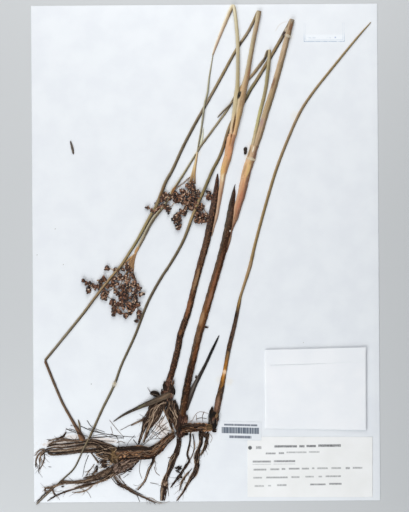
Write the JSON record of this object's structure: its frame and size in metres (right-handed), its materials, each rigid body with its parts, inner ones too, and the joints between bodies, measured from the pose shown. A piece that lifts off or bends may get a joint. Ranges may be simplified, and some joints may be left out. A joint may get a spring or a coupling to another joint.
{
  "type": "pressed rush herbarium specimen",
  "caption": "A tall rush, pressed, dried and folded, fixed on a white mounting sheet with a blank label, a folded packet and a slip.",
  "frame": {"origin": "centre of the mounting sheet's underside", "axes": "+Y up the sheet towards its top edge, +X to the right as the label reads, +Z out of the face that carries the plant"},
  "size_m": [0.2922, 0.4215, 0.006],
  "materials": {
    "white_paper": "matt white rag paper with a faint blue cast",
    "warm_paper": "matt off-white paper, slightly warm",
    "dried_glue": "dried drops of pale glue",
    "dark_sheath": "dark purple-brown dried sheath, softly glossy, with tan patches",
    "golden_culm": "dried culm, orange-tan with golden ribs and brown edges",
    "pale_leaf": "dried leaf, pale greenish straw, ribbed",
    "brown_stem": "dried stem, dark brown with a paler edge",
    "rosy_stem": "dried stem, pinkish brown with olive streaks",
    "olive_leaf": "dried leaf, olive brown",
    "capsule": "dark red-brown seed capsules with tan bracts",
    "root": "dried roots, dark brown to tan fibres",
    "rhizome": "dried rhizome, brown with golden ridges"
  },
  "bodies": {
    "root": {"mounting_sheet": "white_paper", "fragment_packet": "white_paper", "barcode_slip": "white_paper", "specimen_label": "warm_paper", "glue_drop_1": "dried_glue", "glue_drop_2": "dried_glue", "glue_drop_3": "dried_glue", "sheath_a": "dark_sheath", "sheath_b": "dark_sheath", "basal_leaf_right": "dark_sheath", "loose_sliver": "dark_sheath", "loose_fragment": "dark_sheath", "crown_a": "dark_sheath", "crown_b": "dark_sheath", "crown_c": "dark_sheath", "culm_a": "golden_culm", "culm_b": "golden_culm", "stem_a_upper": "golden_culm", "leaf_a": "pale_leaf", "stem_a_return": "brown_stem", "stem_a_end": "brown_stem", "stem_b_return": "brown_stem", "leaf_tip_loose": "brown_stem", "sheath_c": "brown_stem", "leaf_a_fold_back": "rosy_stem", "stem_b_upper": "rosy_stem", "leaf_b": "olive_leaf", "leaf_b_return": "olive_leaf", "bract_thin": "olive_leaf", "culm_lower_head": "olive_leaf", "leaf_c": "olive_leaf", "basal_leaf_left": "olive_leaf", "shoot_small": "olive_leaf", "inflorescence_upper": "capsule", "inflorescence_lower": "capsule", "root_fan_a": "root", "roots_upper_left": "root", "roots_lower_left": "root", "root_1": "root", "root_2": "root", "root_3": "root", "root_4": "root", "root_5": "root", "root_6": "root", "root_7": "root", "rhizome_left": "rhizome", "rhizome_right": "rhizome"}
  },
  "joints": []
}
